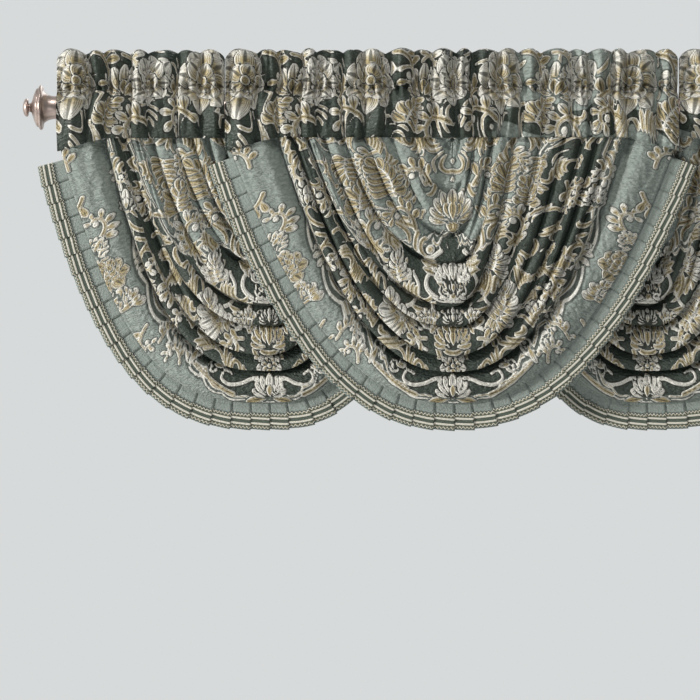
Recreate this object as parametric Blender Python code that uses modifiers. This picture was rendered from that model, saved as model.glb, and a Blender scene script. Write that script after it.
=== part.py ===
"""A waterfall valance: three overlapping swags on one curtain rod, for Blender 4.5.

Each swag has its own gathered heading with a rod pocket, a draped cloth with cowl folds,
a knife-pleated frill sewn behind its curved edge, and a flat braid sewn on the frill.
Metres, +Z up, +X along the rod, the room side towards -Y, the origin on the rod's axis
straight above the middle swag's lowest point.
"""

import math
from collections import namedtuple

import bmesh
import bpy

# Rod and finials
ROD_RADIUS = 0.0127
ROD_STEPS = 24
SOCKET_DEPTH = 0.014
FINIAL_STEPS = 18
PIECE_GAP = 0.0003

# Cloth thicknesses
SWAG_THICKNESS = 0.002
HEADING_THICKNESS = 0.0015
FRILL_THICKNESS = 0.0012
BRAID_THICKNESS = 0.0012

# Heights of the seam that joins a swag to its heading
SEAM_HEIGHT = -0.0385
SEAM_END_DROP = 0.0155
SEAM_GAP = 0.0013

# Swag drop and fold shape
SWAG_DROP = 0.3425
RIDGE_ROUNDNESS = 0.62
HEADING_RIDGE = 0.0045
HEADING_RIDGE_SHARE = 0.22
SIDE_RIDGE = 0.0075
FOLD_DROOP = 0.85
INNER_CURVE_POWER = 2.4
LEAN_DEPTH = 0.16

# Frill and braid
PLEAT_PITCH = 0.0242
PLEAT_RISE = 0.0032
PLEAT_RISE_AT_SEAM = 0.0008
PLEAT_STEP = 0.0020
FRILL_TUCK = 0.0045
FRILL_WIDTH = 0.0360
FRILL_START = 0.988
BRAID_INNER = 0.0135
BRAID_LAYERS = 0.0018

# Gathered heading
GATHER_WIDTH = 0.029
GATHER_SHARES = (1.0, 1.3, 0.8, 1.1, 0.7, 1.2, 0.9)
RUFFLE_WAVE = 0.0075
POCKET_WAVE = 0.0065
RUFFLE_UNEVEN = 0.0028
UNEVEN_STEP = 0.4
UNEVEN_CYCLE = 3

CURVE_SAMPLES = 240

# One row for each fold, from the swag's middle outwards: where its outer crease meets the
# heading left and right of the middle, how far that crease drops at the middle, and how far
# the ridge stands out there.
Fold = namedtuple("Fold", "left right drop rise")
FOLDS = (
    Fold(left=0.044, right=0.022, drop=0.080, rise=0.0030),
    Fold(left=0.098, right=0.044, drop=0.142, rise=0.0045),
    Fold(left=0.140, right=0.062, drop=0.180, rise=0.0050),
    Fold(left=0.178, right=0.082, drop=0.220, rise=0.0120),
    Fold(left=0.192, right=0.126, drop=0.249, rise=0.0085),
    Fold(left=0.208, right=0.176, drop=0.286, rise=0.0135),
    Fold(left=0.228, right=0.228, drop=0.309, rise=0.0080),
    Fold(left=0.287, right=0.287, drop=SWAG_DROP, rise=0.0070),
)
FULL_REACH = FOLDS[-1].left
LEVEL_SHARE = FOLDS[-2].left / FULL_REACH

# One row for each swag: its middle, how far its cloth reaches left and right of that at the
# heading, the power of its edge's curve on each side, the depth of its top edge, how far it
# leans and bellies towards the room, and how many grid cells each fold and each side get.
Swag = namedtuple(
    "Swag", "name middle left right left_power right_power top lean belly rows columns"
)
SWAGS = (
    Swag("left", -0.2370, 0.272, 0.198, 3.10, 2.80, 0.0055, 0.0000, 0.0060, 3, 9),
    Swag("middle", 0.0000, 0.287, 0.287, 2.35, 2.30, -0.0110, -0.0180, 0.0120, 4, 11),
    Swag("right", 0.2535, 0.210, 0.275, 2.75, 2.90, 0.0055, 0.0000, 0.0060, 3, 9),
)

# One row for each heading: the swag it carries, its two ends along the rod, and the depth of
# its front and back lower corners.
Heading = namedtuple("Heading", "name start end front back")
HEADINGS = (
    Heading("left", -0.5135, -0.2975, 0.0030, 0.0080),
    Heading("middle", -0.2925, 0.2925, -0.0135, -0.0060),
    Heading("right", 0.2975, 0.5310, 0.0030, 0.0080),
)

# One row for each line of cloth round the heading's cross-section on one face, top to bottom:
# its height, its distance from the rod's axis plane, its share of the ruffle's wave, which
# moves both faces together, and its share of the pocket's gathers, which stand outwards.
Ring = namedtuple("Ring", "height away ruffle pocket")
POCKET_RADIUS = ROD_RADIUS + PIECE_GAP + HEADING_THICKNESS / 2 + 0.0008
HEADING_RINGS = (
    Ring(0.0745, 0.0015, 1.00, 0.00),
    Ring(0.0480, 0.0026, 0.80, 0.00),
    Ring(0.0215, 0.0014, 0.16, 0.00),
    Ring(
        POCKET_RADIUS * math.sin(math.radians(72)),
        POCKET_RADIUS * math.cos(math.radians(72)),
        0.00,
        0.12,
    ),
    Ring(
        POCKET_RADIUS * math.sin(math.radians(32)),
        POCKET_RADIUS * math.cos(math.radians(32)),
        0.00,
        0.80,
    ),
    Ring(
        -POCKET_RADIUS * math.sin(math.radians(10)),
        POCKET_RADIUS * math.cos(math.radians(10)),
        0.00,
        1.00,
    ),
)

# One row for each ring of the finial's outline, from the rod side to the tip: distance along
# the rod and radius.
FINIAL_OUTLINE = (
    (0.0000, 0.0150),
    (0.0060, 0.0153),
    (0.0120, 0.0172),
    (0.0165, 0.0205),
    (0.0180, 0.0268),
    (0.0195, 0.0290),
    (0.0215, 0.0286),
    (0.0235, 0.0250),
    (0.0255, 0.0246),
    (0.0275, 0.0212),
    (0.0310, 0.0120),
    (0.0335, 0.0062),
    (0.0360, 0.0060),
    (0.0375, 0.0112),
    (0.0405, 0.0104),
    (0.0432, 0.0060),
)
FINIAL_LENGTH = 0.0440

MATERIALS = {
    "damask": ((0.33, 0.38, 0.34), 0.62, 0.0),
    "heading_damask": ((0.20, 0.24, 0.20), 0.62, 0.0),
    "frill_cloth": ((0.42, 0.49, 0.46), 0.60, 0.0),
    "braid": ((0.36, 0.35, 0.28), 0.70, 0.0),
    "rod_metal": ((0.45, 0.38, 0.35), 0.38, 0.8),
}


def material(name):
    """The Principled material of one slot, made once."""
    found = bpy.data.materials.get(name)
    if found:
        return found
    colour, roughness, metallic = MATERIALS[name]
    made = bpy.data.materials.new(name)
    made.use_nodes = True
    shader = made.node_tree.nodes["Principled BSDF"]
    shader.inputs["Base Color"].default_value = (*colour, 1)
    shader.inputs["Roughness"].default_value = roughness
    shader.inputs["Metallic"].default_value = metallic
    return made


def lerp(a, b, share):
    return a + (b - a) * share


def smooth(share):
    """Rises from 0 to 1 with level ends."""
    share = min(max(share, 0.0), 1.0)
    return share * share * (3 - 2 * share)


def seam_height(distance, reach):
    """The height of the heading's lower seam at a distance from the swag's middle: level,
    and falling towards the corner over the outermost fold."""
    run = (abs(distance) / reach - LEVEL_SHARE) / (1 - LEVEL_SHARE)
    return SEAM_HEIGHT - SEAM_END_DROP * max(run, 0.0)


def crease(swag, side, index):
    """Where crease number index meets the heading on one side, and how deep it drops at the
    middle; index may fall between two creases."""
    reaches = [0.0] + [fold.left if side < 0 else fold.right for fold in FOLDS]
    drops = [0.0] + [fold.drop for fold in FOLDS]
    scale = (swag.left if side < 0 else swag.right) / FULL_REACH
    low = min(int(index), len(FOLDS) - 1)
    share = index - low
    reach = lerp(reaches[low], reaches[low + 1], share) * scale
    return reach, lerp(drops[low], drops[low + 1], share)


def ridge(index):
    """The height of the fold's round ridge between two creases, from 0 to 1."""
    return math.sin(math.pi * (index % 1.0)) ** RIDGE_ROUNDNESS if index % 1.0 else 0.0


def swag_point(swag, along, index):
    """A point of the swag's cloth. along runs from -1 at the left of the heading, through 0
    at the swag's middle, to 1 at its right; index counts creases outwards from the middle."""
    side = -1 if along < 0 else 1
    share = abs(along)
    reach, drop = crease(swag, side, index)
    width = reach - crease(swag, side, max(math.ceil(index) - 1, 0))[0]
    edge_power = swag.left_power if side < 0 else swag.right_power
    power = lerp(INNER_CURVE_POWER, edge_power, index / len(FOLDS))
    full = swag.left if side < 0 else swag.right
    top = seam_height(reach, full) - SEAM_GAP
    bottom = SEAM_HEIGHT - SEAM_GAP - drop
    height = bottom + (top - bottom) * share**power
    fall = min(max((top - height) / LEAN_DEPTH, 0.0), 1.0)
    belly = swag.belly * math.sin(math.pi * drop / SWAG_DROP) * (1 - share**2)
    depth = swag.top + swag.lean * fall * (2 - fall) - belly * fall

    rise_middle = FOLDS[min(int(index), len(FOLDS) - 1)].rise
    rise_heading = min(HEADING_RIDGE, HEADING_RIDGE_SHARE * width)
    rise_side = min(SIDE_RIDGE, rise_middle)
    rise = lerp(rise_middle, rise_side, smooth(share * 2))
    rise = lerp(rise, rise_heading, smooth(share * 2 - 1))
    out = rise * ridge(index)
    return (
        swag.middle + side * reach * share,
        depth - out,
        height - FOLD_DROOP * out * (1 - share**2),
    )


def even_shares(swag, side, count):
    """Shares from 0 at the swag's middle to 1 at the heading that split its edge evenly."""
    samples = [i / CURVE_SAMPLES for i in range(CURVE_SAMPLES + 1)]
    points = [swag_point(swag, side * s, len(FOLDS)) for s in samples]
    lengths = [0.0]
    for a, b in zip(points, points[1:]):
        lengths.append(lengths[-1] + math.dist(a, b))
    shares = []
    for step in range(count + 1):
        wanted = lengths[-1] * step / count
        at = next(i for i, length in enumerate(lengths) if length >= wanted - 1e-9)
        shares.append(samples[at])
    shares[-1] = 1.0
    return shares, lengths[-1]


def grid_object(name, columns, rows, place, collection, slot, closed_rows=False):
    """A grid of columns by rows cells whose corners are set by place(column, row)."""
    mesh = bpy.data.meshes.new(name)
    bm = bmesh.new()
    bmesh.ops.create_grid(bm, x_segments=columns, y_segments=rows, size=0.5)
    for vert in bm.verts:
        column = round((vert.co.x + 0.5) * columns)
        row = round((vert.co.y + 0.5) * rows)
        vert.co = place(column, row % rows if closed_rows else row)
    bmesh.ops.remove_doubles(bm, verts=bm.verts, dist=1e-6)
    bm.to_mesh(mesh)
    bm.free()
    made = bpy.data.objects.new(name, mesh)
    made.data.materials.append(material(slot))
    collection.objects.link(made)
    return made


def thicken(made, thickness):
    """Gives a sheet its thickness, half on each side."""
    solidify = made.modifiers.new("thickness", "SOLIDIFY")
    solidify.thickness = thickness
    solidify.offset = 0.0


def make_swag(swag, collection):
    """The draped cloth of one swag."""
    left, _ = even_shares(swag, -1, swag.columns)
    right, _ = even_shares(swag, 1, swag.columns)
    alongs = [-s for s in reversed(left)] + right[1:]
    indices = [i / swag.rows for i in range(len(FOLDS) * swag.rows + 1)]

    def place(column, row):
        return swag_point(swag, alongs[column], indices[row])

    made = grid_object(
        f"swag_{swag.name}",
        len(alongs) - 1,
        len(indices) - 1,
        place,
        collection,
        "damask",
    )
    thicken(made, SWAG_THICKNESS)


def edge_frame(swag, along):
    """A point of the swag's curved edge and the direction out of the cloth there."""
    step = 0.004
    ahead = swag_point(swag, min(along + step, 1.0), len(FOLDS))
    behind = swag_point(swag, max(along - step, -1.0), len(FOLDS))
    point = swag_point(swag, along, len(FOLDS))
    run = (ahead[0] - behind[0], ahead[2] - behind[2])
    size = math.hypot(*run)
    return point, (run[1] / size, -run[0] / size)


def pleat_sections(swag, shift):
    """Where each face of the knife pleats starts and ends along the edge, left to right,
    each step from one pleat to the next set further right by shift."""
    alongs = []
    for side in (-1, 1):
        _, length = even_shares(swag, side, 1)
        shares, _ = even_shares(swag, side, round(length / PLEAT_PITCH))
        shares = [min(share, FRILL_START) for share in shares]
        alongs += [side * share for share in shares]
    alongs = sorted(set(alongs))
    sections = []
    for start, end in zip(alongs, alongs[1:]):
        per_metre = (end - start) / PLEAT_PITCH
        first = start if start == alongs[0] else start + shift * per_metre
        last = end - (PLEAT_STEP - shift) * per_metre
        sections += [(first, 0.0), (min(last, alongs[-1]), 1.0)]
    return sections


def strip_on_edge(name, swag, rows, layer, thickness, slot, collection):
    """A strip along the swag's edge that follows the knife pleats. rows are its distances
    beyond the edge; layer is how far in front of the frill's own middle its middle lies."""
    step_angle = math.atan2(PLEAT_RISE, PLEAT_STEP)
    sections = pleat_sections(swag, layer * math.tan(step_angle / 2))
    behind = (SWAG_THICKNESS + FRILL_THICKNESS) / 2 + PIECE_GAP * 2 + PLEAT_RISE_AT_SEAM

    def place(column, row):
        along, face = sections[column]
        beyond = rows[row]
        point, out = edge_frame(swag, along)
        rise = lerp(PLEAT_RISE_AT_SEAM, PLEAT_RISE, max(beyond, 0.0) / FRILL_WIDTH)
        return (
            point[0] + out[0] * beyond,
            point[1] + behind - layer - rise * face,
            point[2] + out[1] * beyond,
        )

    made = grid_object(name, len(sections) - 1, len(rows) - 1, place, collection, slot)
    thicken(made, thickness)


def make_trim(swag, collection):
    """The pleated frill behind the swag's edge and the braid on the frill's front."""
    strip_on_edge(
        f"frill_{swag.name}",
        swag,
        (-FRILL_TUCK, BRAID_INNER, FRILL_WIDTH),
        0.0,
        FRILL_THICKNESS,
        "frill_cloth",
        collection,
    )
    strip_on_edge(
        f"braid_{swag.name}",
        swag,
        (BRAID_INNER, FRILL_WIDTH),
        BRAID_LAYERS,
        BRAID_THICKNESS,
        "braid",
        collection,
    )


def gather_ends(start, end, first):
    """The creases between the gathers from start to end, uneven in width, the first gather
    having number first."""
    count = round((end - start) / GATHER_WIDTH)
    widths = [GATHER_SHARES[(first + i) % len(GATHER_SHARES)] for i in range(count)]
    ends = [start + (end - start) * sum(widths[:i]) / sum(widths) for i in range(count)]
    return ends[1:] + [end]


def heading_sections(heading, swag):
    """Places along the rod, each with the number of its gather and whether it is on that
    gather's crest; a crease lies where the seam starts to fall towards a corner."""
    corners = [
        swag.middle - swag.left * LEVEL_SHARE,
        swag.middle + swag.right * LEVEL_SHARE,
    ]
    knots = [x for x in corners if heading.start < x < heading.end] + [heading.end]
    creases = [heading.start]
    for knot in knots:
        creases += gather_ends(creases[-1], knot, len(creases))
    sections = []
    for number, (start, end) in enumerate(zip(creases, creases[1:])):
        sections += [(start, number, 0.0), ((start + end) / 2, number, 1.0)]
    return sections + [(heading.end, len(creases) - 1, 0.0)]


def make_heading(heading, swag, collection):
    """The gathered heading: one loop of cloth, folded at the top of the ruffle, stitched
    above the rod, and closed below it where the swag is sewn on."""
    sections = heading_sections(heading, swag)
    count = len(HEADING_RINGS) + 1

    def place(column, row):
        x, number, crest = sections[column]
        front = row < count
        ring_at = row if front else 2 * count - 1 - row
        if ring_at == count - 1:
            reach = swag.left if x < swag.middle else swag.right
            corner = heading.front if front else heading.back
            rise = HEADING_RIDGE * crest if front else 0.0
            return (x, corner - rise, seam_height(x - swag.middle, reach))
        ring = HEADING_RINGS[ring_at]
        dip = (1 - crest + UNEVEN_STEP * (number % UNEVEN_CYCLE)) if ring_at == 0 else 0.0
        depth = ring.away + POCKET_WAVE * crest * ring.pocket
        wave = RUFFLE_WAVE * crest * ring.ruffle * (1 if number % 2 else -1)
        return (x, (-depth if front else depth) + wave, ring.height - RUFFLE_UNEVEN * dip)

    made = grid_object(
        f"heading_{heading.name}",
        len(sections) - 1,
        2 * count,
        place,
        collection,
        "heading_damask",
        closed_rows=True,
    )
    thicken(made, HEADING_THICKNESS)


def turned(name, outline, steps, slot, collection):
    """A shape turned about the X axis from an outline of (along, radius) points."""
    mesh = bpy.data.meshes.new(name)
    bm = bmesh.new()
    verts = [bm.verts.new((along, 0.0, radius)) for along, radius in outline]
    for a, b in zip(verts, verts[1:]):
        bm.edges.new((a, b))
    bm.to_mesh(mesh)
    bm.free()
    made = bpy.data.objects.new(name, mesh)
    made.data.materials.append(material(slot))
    collection.objects.link(made)
    screw = made.modifiers.new("turn", "SCREW")
    screw.axis = "X"
    screw.steps = steps
    screw.render_steps = steps
    screw.use_merge_vertices = True
    screw.merge_threshold = 0.00001
    screw.use_normal_flip = True
    return made


def make_rod(collection):
    """The rod and its two finials; each finial's socket holds one end of the rod."""
    start, end = HEADINGS[0].start, HEADINGS[-1].end
    rod_start = start - SOCKET_DEPTH
    rod_end = end + SOCKET_DEPTH
    bpy.ops.mesh.primitive_cylinder_add(
        vertices=ROD_STEPS,
        radius=ROD_RADIUS,
        depth=rod_end - rod_start,
        location=((rod_start + rod_end) / 2, 0, 0),
        rotation=(0, math.pi / 2, 0),
    )
    rod = bpy.context.object
    rod.name = "rod"
    rod.data.materials.append(material("rod_metal"))
    for owner in list(rod.users_collection):
        owner.objects.unlink(rod)
    collection.objects.link(rod)

    socket = ROD_RADIUS + PIECE_GAP * 1.5
    outline = [(SOCKET_DEPTH, 0.0), (SOCKET_DEPTH, socket), (0.0, socket)]
    outline += list(FINIAL_OUTLINE) + [(FINIAL_LENGTH, 0.0)]
    for name, place, turn in (("left", start, math.pi), ("right", end, 0.0)):
        finial = turned(f"finial_{name}", outline, FINIAL_STEPS, "rod_metal", collection)
        side = -1 if name == "left" else 1
        finial.location = (place + side * PIECE_GAP, 0, 0)
        finial.rotation_euler = (0, 0, turn)
        finial.data.shade_smooth()


def main():
    for old in list(bpy.data.objects):
        bpy.data.objects.remove(old)
    collection = bpy.data.collections.new("waterfall_valance")
    bpy.context.scene.collection.children.link(collection)
    for swag in SWAGS:
        make_swag(swag, collection)
        make_trim(swag, collection)
    for heading, swag in zip(HEADINGS, SWAGS):
        make_heading(heading, swag, collection)
    make_rod(collection)


main()
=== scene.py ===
import math
from collections import namedtuple

import bmesh
import bpy
import numpy as np
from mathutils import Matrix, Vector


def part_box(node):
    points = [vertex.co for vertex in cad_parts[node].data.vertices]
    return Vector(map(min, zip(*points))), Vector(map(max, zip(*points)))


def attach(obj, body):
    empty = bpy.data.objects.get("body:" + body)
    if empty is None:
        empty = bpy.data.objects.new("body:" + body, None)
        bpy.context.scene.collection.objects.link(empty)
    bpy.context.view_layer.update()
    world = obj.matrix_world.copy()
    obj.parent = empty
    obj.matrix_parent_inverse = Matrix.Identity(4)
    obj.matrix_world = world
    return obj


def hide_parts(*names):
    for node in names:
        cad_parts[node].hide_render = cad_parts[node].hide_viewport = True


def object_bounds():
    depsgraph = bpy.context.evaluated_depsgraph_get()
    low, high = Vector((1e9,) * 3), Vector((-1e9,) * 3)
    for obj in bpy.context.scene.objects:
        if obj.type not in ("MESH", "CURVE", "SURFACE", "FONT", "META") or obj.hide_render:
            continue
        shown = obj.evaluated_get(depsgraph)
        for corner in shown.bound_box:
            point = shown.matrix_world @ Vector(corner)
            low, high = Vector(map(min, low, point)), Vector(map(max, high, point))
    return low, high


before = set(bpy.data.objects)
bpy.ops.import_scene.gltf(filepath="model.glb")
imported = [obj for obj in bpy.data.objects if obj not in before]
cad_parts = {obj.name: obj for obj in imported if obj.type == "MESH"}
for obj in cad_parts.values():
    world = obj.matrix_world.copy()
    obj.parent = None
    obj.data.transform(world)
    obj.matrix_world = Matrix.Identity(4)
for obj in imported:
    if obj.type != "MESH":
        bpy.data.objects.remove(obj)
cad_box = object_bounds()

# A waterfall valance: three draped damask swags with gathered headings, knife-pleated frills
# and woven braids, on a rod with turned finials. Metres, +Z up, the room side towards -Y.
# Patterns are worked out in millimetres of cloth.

# The photograph's frame: its middle on the plane of the cloth, its width, and a long lens.
PHOTO_MIDDLE = (-0.1326, -0.3151)
PHOTO_WIDTH = 0.91
CAMERA_DISTANCE = 4.0
SENSOR_WIDTH = 36.0

# Sizes shared with the solids
ROD_RADIUS = 0.0127
SEAM_HEIGHT = -0.0385
SEAM_END_DROP = 0.0155
SEAM_GAP = 0.0013
SWAG_DROP = 0.3425
INNER_CURVE_POWER = 2.4
LEAN_DEPTH = 0.16
PLEAT_PITCH = 0.0242
PLEAT_RISE = 0.0032
PLEAT_RISE_AT_SEAM = 0.0008
FRILL_TUCK = 0.0045
FRILL_WIDTH = 0.0360
FRILL_START = 0.988
BRAID_INNER = 0.0135
GATHER_WIDTH = 0.029
GATHER_SHARES = (1.0, 1.3, 0.8, 1.1, 0.7, 1.2, 0.9)

# The cloth's thickness
CLOTH_THICKNESS = 0.0006

# The shape of the folds: ridges across the middle, tubes up the sides, and creases between
RIDGE_ROUNDNESS = 0.72
HEADING_RIDGE = 0.0065
HEADING_RIDGE_SHARE = 0.34
SIDE_RIDGE = 0.0135
FOLD_DROOP = 1.05
CREASE_DEPTH = 0.0080
TUBE_WIDTH = 0.0245
TUBE_RISE = 0.0135

# Each fold from the swag's middle outwards: how far left and right of the middle its outer
# crease meets the heading, how far that crease drops, and how far the fold's ridge stands out.
Fold = namedtuple("Fold", "left right drop rise")
FOLDS = (
    Fold(0.044, 0.022, 0.074, 0.0030),
    Fold(0.098, 0.044, 0.128, 0.0045),
    Fold(0.140, 0.062, 0.164, 0.0050),
    Fold(0.178, 0.082, 0.217, 0.0115),
    Fold(0.192, 0.126, 0.243, 0.0075),
    Fold(0.208, 0.176, 0.277, 0.0120),
    Fold(0.228, 0.228, 0.300, 0.0070),
    Fold(0.287, 0.287, SWAG_DROP, 0.0075),
)
FOLD_COUNT = len(FOLDS)
FULL_REACH = FOLDS[-1].left
LEVEL_SHARE = FOLDS[-2].left / FULL_REACH

# Each swag: its middle, its reach to each side, the power of its edge's curve on each side,
# its top edge's depth, its lean and belly, its mesh's columns and its rows a fold, and how
# many times as far as in FOLDS its folds stand out.
Swag = namedtuple(
    "Swag", "name middle left right left_power right_power top lean belly columns rows fullness"
)
SWAGS = (
    Swag("left", -0.2370, 0.272, 0.198, 3.10, 2.80, 0.0055, 0.0000, 0.0060, 380, 24, 1.35),
    Swag("middle", 0.0000, 0.287, 0.287, 2.35, 2.30, -0.0110, -0.0180, 0.0120, 420, 27, 1.55),
    Swag("right", 0.2535, 0.210, 0.275, 2.75, 2.90, 0.0055, 0.0000, 0.0060, 340, 22, 1.35),
)
MIDDLE_SWAG = SWAGS[1]

# Each heading: its ends along the rod, the depth of its lower edge at the front and back, its
# mesh's columns, the place along the rod where its dark ground gives way to the sage one, and
# 1 where the sage lies to the right of that, or -1 to the left.
Heading = namedtuple("Heading", "name start end front back columns turn_at turn_sign")
HEADINGS = (
    Heading("left", -0.5135, -0.2955, 0.0030, 0.0080, 190, -0.150, 1),
    Heading("middle", -0.2945, 0.2935, -0.0135, -0.0060, 480, 0.060, 1),
    Heading("right", 0.2955, 0.5310, 0.0030, 0.0080, 190, 0.330, -1),
)


def smooth(share):
    """Rises from 0 to 1 with level ends."""
    share = np.clip(share, 0.0, 1.0)
    return share * share * (3 - 2 * share)


def lerp(a, b, share):
    return a + (b - a) * share


def wobble(a, b, seed):
    """A gentle uneven field from -1 to 1 with features about one unit across."""
    random = np.random.default_rng(seed)
    waves = 5
    total = 0.0
    for _ in range(waves):
        turn, size, phase = random.uniform(0, math.tau, 3)
        pitch = 3.0 + 0.6 * size
        total = total + np.sin(pitch * (a * np.cos(turn) + b * np.sin(turn)) + phase)
    return total / waves


def crumple(a, b, seed):
    """Sharp little creases, from 0 to 1 across a crease's side."""
    return 1 - np.minimum(3 * np.abs(wobble(a, b, seed)), 1)


# Patterns


class Damask:
    """Motifs laid on cloth whose points lie at (across, down) in millimetres. depth is how far
    inside a motif a point lies, tone runs from ivory 0 to gold 1, vein is 0 on a petal's vein
    and 1 at its edge."""

    EDGE_GAP = 1.7
    FAR = 8.0

    def __init__(self, across, down):
        self.across = across
        self.down = down
        self.depth = np.full(across.shape, -self.FAR)
        self.tone = np.zeros(across.shape)
        self.vein = np.ones(across.shape)

    def near(self, centre, reach):
        """The points within reach of centre, and their places from it."""
        x = self.across - centre[0]
        y = self.down - centre[1]
        found = np.nonzero((np.abs(x) < reach) & (np.abs(y) < reach))
        return found, x[found], y[found]

    def lay(self, found, depth, tone, vein):
        """Lays one shape over what is there, with a narrow gap of ground round it."""
        on_top = depth > -self.EDGE_GAP
        nearer = on_top | (depth > self.depth[found])
        place = tuple(axis[nearer] for axis in found)
        self.depth[place] = depth[nearer]
        self.tone[place] = np.clip(tone, 0, 1)[nearer]
        self.vein[place] = np.clip(vein, 0, 1)[nearer]

    def petal(self, base, angle, length, width, tone):
        """A blunt petal from base, upright at angle 0, turning clockwise."""
        middle = (
            base[0] + math.sin(angle) * length / 2,
            base[1] - math.cos(angle) * length / 2,
        )
        found, x, y = self.near(middle, length / 2 + self.FAR)
        along = (x * math.sin(angle) - y * math.cos(angle)) / length + 0.5
        side = x * math.cos(angle) + y * math.sin(angle)
        inside = np.clip(along, 0.03, 0.97)
        half = width / 2 * np.sin(math.pi * inside**1.45) ** 0.62
        beyond = np.abs(along - inside) * length
        gap = np.abs(side) - half
        depth = np.where(beyond > 0, -np.hypot(np.maximum(gap, 0), beyond), -gap)
        shade = tone + 0.60 - 0.85 * along
        self.lay(found, depth, shade, np.abs(side) / np.maximum(half, 0.8))

    def disc(self, centre, radius, tone):
        found, x, y = self.near(centre, radius + self.FAR)
        away = np.hypot(x, y)
        self.lay(found, radius - away, np.full(away.shape, tone), away / radius)

    def spiral(self, centre, radius, turns, width, start, hand, tone):
        """A scroll that winds inwards from radius at the start angle and ends in a bud."""
        found, x, y = self.near(centre, radius + width + self.FAR)
        away = np.maximum(np.hypot(x, y), 0.1)
        bearing = np.arctan2(hand * y, x) - start
        last = math.tau * turns
        tightness = math.log(radius / (width * 0.9)) / last
        wanted = np.log(radius / away) / tightness
        turn = np.clip(bearing + math.tau * np.round((wanted - bearing) / math.tau), 0, last)
        ring = radius * np.exp(-tightness * turn)
        line_x = ring * np.cos(turn + start)
        line_y = hand * ring * np.sin(turn + start)
        off = np.hypot(x - line_x, y - line_y)
        half = width / 2 * (1 - 0.45 * turn / last)
        self.lay(found, half - off, np.full(off.shape, tone), off / half)
        end = radius * math.exp(-tightness * last)
        bud_x = centre[0] + end * math.cos(last + start)
        bud_y = centre[1] + hand * end * math.sin(last + start)
        self.disc((bud_x, bud_y), width * 0.75, 0.1)

    def ribbon(self, points, width, tone, taper=0.6):
        """A tapering band through points, as a smooth line."""
        line = spline(np.array(points, float), 7)
        for number, (a, b) in enumerate(zip(line, line[1:])):
            share = (number + 0.5) / (len(line) - 1)
            half = width / 2 * (1 - taper * share)
            run = b - a
            size = float(np.hypot(*run))
            found, x, y = self.near((a + b) / 2, size / 2 + width + 4)
            along = np.clip((x * run[0] + y * run[1]) / size, -size / 2, size / 2)
            off = np.hypot(x - along * run[0] / size, y - along * run[1] / size)
            depth = half - off
            keep = depth > self.depth[found]
            place = tuple(axis[keep] for axis in found)
            self.depth[place] = depth[keep]
            self.tone[place] = tone
            self.vein[place] = 1.0

    def fan(self, base, angle, count, spread, length, width, tone, shrink=0.0):
        """A middle petal over count more on each side, each one shorter by shrink."""
        for k in range(count, -1, -1):
            for hand in (1, -1) if k else (1,):
                turn = angle + spread * hand * k
                self.petal(base, turn, length * (1 - shrink * k), width, tone)

    def palmette(self, base, size, angle, tone):
        """A fan of nine petals with a volute at each side of its foot."""
        for hand in (-1, 1):
            foot = turned(base, angle, hand * size * 0.42, size * 0.10)
            self.spiral(foot, size * 0.24, 1.2, size * 0.12, angle - hand * 1.2, hand, 0.9)
        self.fan(base, angle, 4, 0.37, size, size * 0.31, tone, 0.07)
        self.fan(base, angle, 1, 0.45, size * 0.55, size * 0.26, tone + 0.3)

    def rosette(self, centre, size, angle, tone):
        """A round flower of two rings of petals about a button."""
        petals = 7
        for ring, share in ((0, 1.0), (1, 0.62)):
            for k in range(petals):
                turn = angle + math.tau * (k + 0.5 * ring) / petals
                width = size * share * 4.6 / petals
                self.petal(centre, turn, size * share, width, tone + 0.2 * ring)
        self.disc(centre, size * 0.16, 0.95)

    def spray(self, base, size, angle, tone, hand):
        """An acanthus leaf: a bending rib with broad lobes that overlap towards its tip."""
        bend = 0.7 * hand
        steps = 5
        place = np.array(base, float)
        line = [place]
        for k in range(steps):
            share = k / (steps - 1)
            heading = angle + bend * share
            lobe = size * (0.54 - 0.16 * share) * (1 + 0.16 * math.sin(2.9 * k + size))
            for side in (-1, 1):
                turn = heading + side * lerp(1.35, 0.45, share)
                self.petal(place, turn, lobe * (1 + 0.14 * side), lobe * 0.66, tone)
            step = size * 0.72 / steps
            place = place + step * np.array((math.sin(heading), -math.cos(heading)))
            line.append(place)
        self.petal(place, angle + bend, size * 0.36, size * 0.24, tone)
        self.ribbon(line, size * 0.06, 0.0)

    def acanthus(self, base, size, angle, tone, hand):
        """A leafy scroll: a band that curls tighter and tighter, with lobes outside it."""
        steps = 15
        place = np.array(base, float)
        line, lobes = [place], []
        for k in range(steps):
            share = k / (steps - 1)
            heading = angle + hand * (0.9 * share + 4.6 * share**2.2)
            step = size * lerp(0.17, 0.055, share)
            place = place + step * np.array((math.sin(heading), -math.cos(heading)))
            line.append(place)
            if k % 2 == 1 and share < 0.85:
                lobes.append((place, heading - hand * 0.85, size * lerp(0.62, 0.30, share)))
        for foot, turn, length in lobes:
            self.petal(foot, turn, length, length * 0.52, tone)
        self.ribbon(line, size * 0.19, 0.9, 0.45)
        self.disc(line[-1], size * 0.11, 0.1)

    def lotus(self, base, size, angle, tone):
        """An open flower seen from the side, over two low leaves."""
        for hand in (-1, 1):
            self.petal(base, angle + hand * 1.75, size * 1.1, size * 0.32, 0.9)
        self.fan(base, angle, 3, 0.40, size, size * 0.34, tone, 0.05)
        self.petal(base, angle, size * 0.50, size * 0.26, 0.9)

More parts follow.
